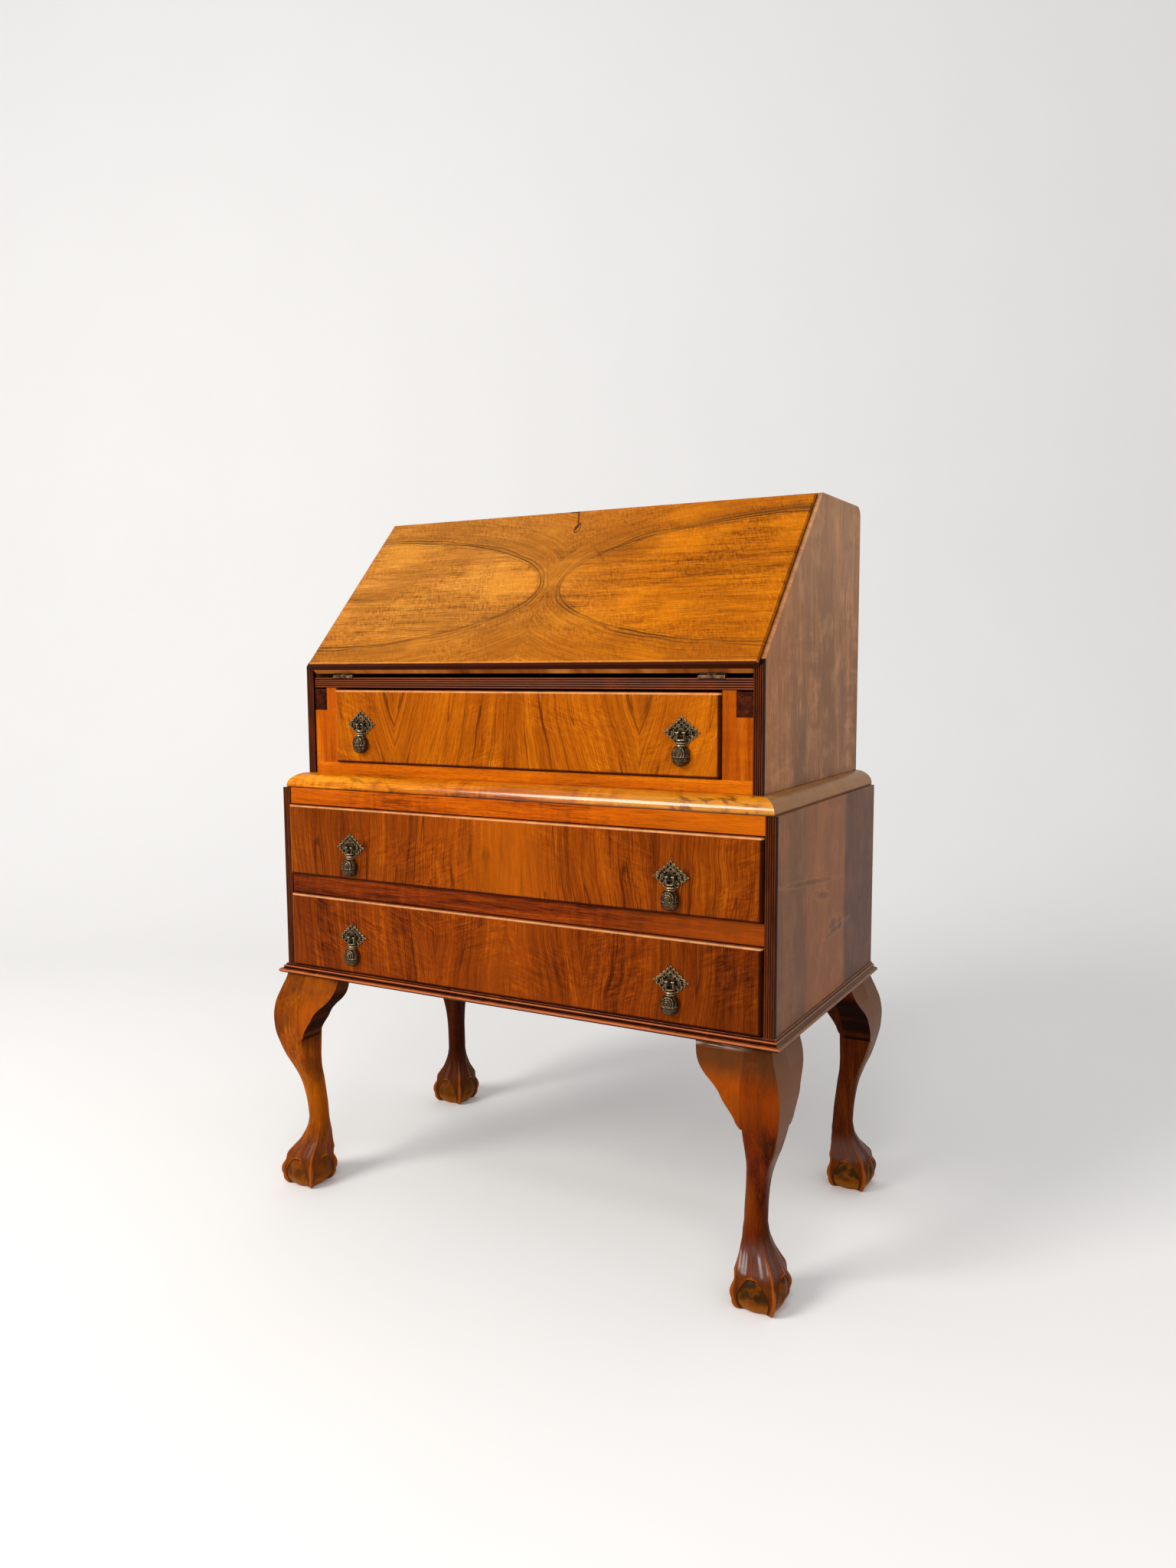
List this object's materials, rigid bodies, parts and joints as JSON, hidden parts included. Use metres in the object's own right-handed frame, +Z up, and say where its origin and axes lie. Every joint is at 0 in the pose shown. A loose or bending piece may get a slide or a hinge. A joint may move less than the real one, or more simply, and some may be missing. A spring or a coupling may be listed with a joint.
{
  "type": "writing bureau",
  "caption": "Walnut writing bureau: sloping fall on pull-out lopers, drawers with pendant handles, cabriole legs with ball-and-claw feet.",
  "frame": {"origin": "centre of the footprint on the floor", "axes": "+Z up, the bureau faces -Y, +X to the right of someone facing its front"},
  "size_m": [0.791, 0.4464, 1.001],
  "materials": {
    "leg_wood": "golden brown stained and french polished, darker at the feet",
    "moulding_wood": "polished walnut with burr flecks",
    "side_veneer": "satin walnut veneer",
    "dark_wood": "dark reddish brown polish",
    "rail_wood": "orange brown polished walnut",
    "back_board": "unpolished plywood",
    "inside_wood": "matt stained wood",
    "fall_veneer": "golden quarter-matched walnut veneer, polished",
    "drawer_veneer": "figured walnut veneer, polished",
    "drawer_box_wood": "bare pale wood",
    "antique_bronze": "dark antiqued brass, worn bright on the high spots",
    "brass": "aged brass"
  },
  "bodies": {
    "carcase": {"leg_front_left": "leg_wood", "leg_front_right": "leg_wood", "leg_rear_left": "leg_wood", "leg_rear_right": "leg_wood", "bottom_board": "moulding_wood", "lower_side_left": "side_veneer", "lower_side_right": "side_veneer", "lower_strip_left": "dark_wood", "lower_strip_right": "dark_wood", "frieze_rail": "rail_wood", "mid_rail": "dark_wood", "lower_back": "back_board", "waist_board": "moulding_wood", "upper_side_left": "side_veneer", "upper_side_right": "side_veneer", "upper_strip_left": "dark_wood", "upper_strip_right": "dark_wood", "upper_back": "back_board", "upper_bottom_rail": "rail_wood", "top_board": "side_veneer", "writing_board": "dark_wood", "loper_guide_left": "rail_wood", "loper_guide_right": "rail_wood", "board_hinge_leaf_left": "brass", "board_hinge_leaf_right": "brass", "pigeonhole_rack": "inside_wood"},
    "fall": {"fall": "fall_veneer", "fall_hinge_leaf_left": "brass", "fall_hinge_leaf_right": "brass", "fall_lock": "brass"},
    "lock_bolt": {"lock_bolt": "brass"},
    "loper_left": {"loper_left": "dark_wood"},
    "loper_right": {"loper_right": "dark_wood"},
    "drawer_1": {"drawer_1_front": "drawer_veneer", "drawer_1_side_left": "drawer_box_wood", "drawer_1_side_right": "drawer_box_wood", "drawer_1_back": "drawer_box_wood", "drawer_1_bottom": "drawer_box_wood", "drawer_1_plate_left": "antique_bronze", "drawer_1_plate_right": "antique_bronze"},
    "drawer_2": {"drawer_2_front": "drawer_veneer", "drawer_2_side_left": "drawer_box_wood", "drawer_2_side_right": "drawer_box_wood", "drawer_2_back": "drawer_box_wood", "drawer_2_bottom": "drawer_box_wood", "drawer_2_plate_left": "antique_bronze", "drawer_2_plate_right": "antique_bronze"},
    "drawer_3": {"drawer_3_front": "drawer_veneer", "drawer_3_side_left": "drawer_box_wood", "drawer_3_side_right": "drawer_box_wood", "drawer_3_back": "drawer_box_wood", "drawer_3_bottom": "drawer_box_wood", "drawer_3_plate_left": "antique_bronze", "drawer_3_plate_right": "antique_bronze"},
    "drop_1_left": {"drawer_1_drop_left": "antique_bronze"},
    "drop_1_right": {"drawer_1_drop_right": "antique_bronze"},
    "drop_2_left": {"drawer_2_drop_left": "antique_bronze"},
    "drop_2_right": {"drawer_2_drop_right": "antique_bronze"},
    "drop_3_left": {"drawer_3_drop_left": "antique_bronze"},
    "drop_3_right": {"drawer_3_drop_right": "antique_bronze"}
  },
  "joints": [
    {"name": "fall_hinge", "type": "hinge", "parent": "carcase", "child": "fall", "pos_m": [0, -0.17247, 0.76325], "axis": [1, 0, 0], "range_deg": [0, 133.55]},
    {"name": "lock_bolt_slide", "type": "slide", "parent": "fall", "child": "lock_bolt", "axis": [0, 0.6891, 0.7247], "range_m": [0, 0.006]},
    {"name": "loper_left_slide", "type": "slide", "parent": "carcase", "child": "loper_left", "axis": [0, -1, 0], "range_m": [0, 0.22]},
    {"name": "loper_right_slide", "type": "slide", "parent": "carcase", "child": "loper_right", "axis": [0, -1, 0], "range_m": [0, 0.22]},
    {"name": "drawer_1_slide", "type": "slide", "parent": "carcase", "child": "drawer_1", "axis": [0, -1, 0], "range_m": [0, 0.25]},
    {"name": "drawer_2_slide", "type": "slide", "parent": "carcase", "child": "drawer_2", "axis": [0, -1, 0], "range_m": [0, 0.28]},
    {"name": "drawer_3_slide", "type": "slide", "parent": "carcase", "child": "drawer_3", "axis": [0, -1, 0], "range_m": [0, 0.28]},
    {"name": "drop_1_left_swing", "type": "hinge", "parent": "drawer_1", "child": "drop_1_left", "pos_m": [-0.25, -0.1833, 0.69565], "axis": [-1, 0, 0], "range_deg": [0, 85]},
    {"name": "drop_1_right_swing", "type": "hinge", "parent": "drawer_1", "child": "drop_1_right", "pos_m": [0.25, -0.1833, 0.69565], "axis": [-1, 0, 0], "range_deg": [0, 85]},
    {"name": "drop_2_left_swing", "type": "hinge", "parent": "drawer_2", "child": "drop_2_left", "pos_m": [-0.25, -0.2133, 0.52265], "axis": [-1, 0, 0], "range_deg": [0, 85]},
    {"name": "drop_2_right_swing", "type": "hinge", "parent": "drawer_2", "child": "drop_2_right", "pos_m": [0.25, -0.2133, 0.52265], "axis": [-1, 0, 0], "range_deg": [0, 85]},
    {"name": "drop_3_left_swing", "type": "hinge", "parent": "drawer_3", "child": "drop_3_left", "pos_m": [-0.25, -0.2133, 0.39315], "axis": [-1, 0, 0], "range_deg": [0, 85]},
    {"name": "drop_3_right_swing", "type": "hinge", "parent": "drawer_3", "child": "drop_3_right", "pos_m": [0.25, -0.2133, 0.39315], "axis": [-1, 0, 0], "range_deg": [0, 85]}
  ]
}
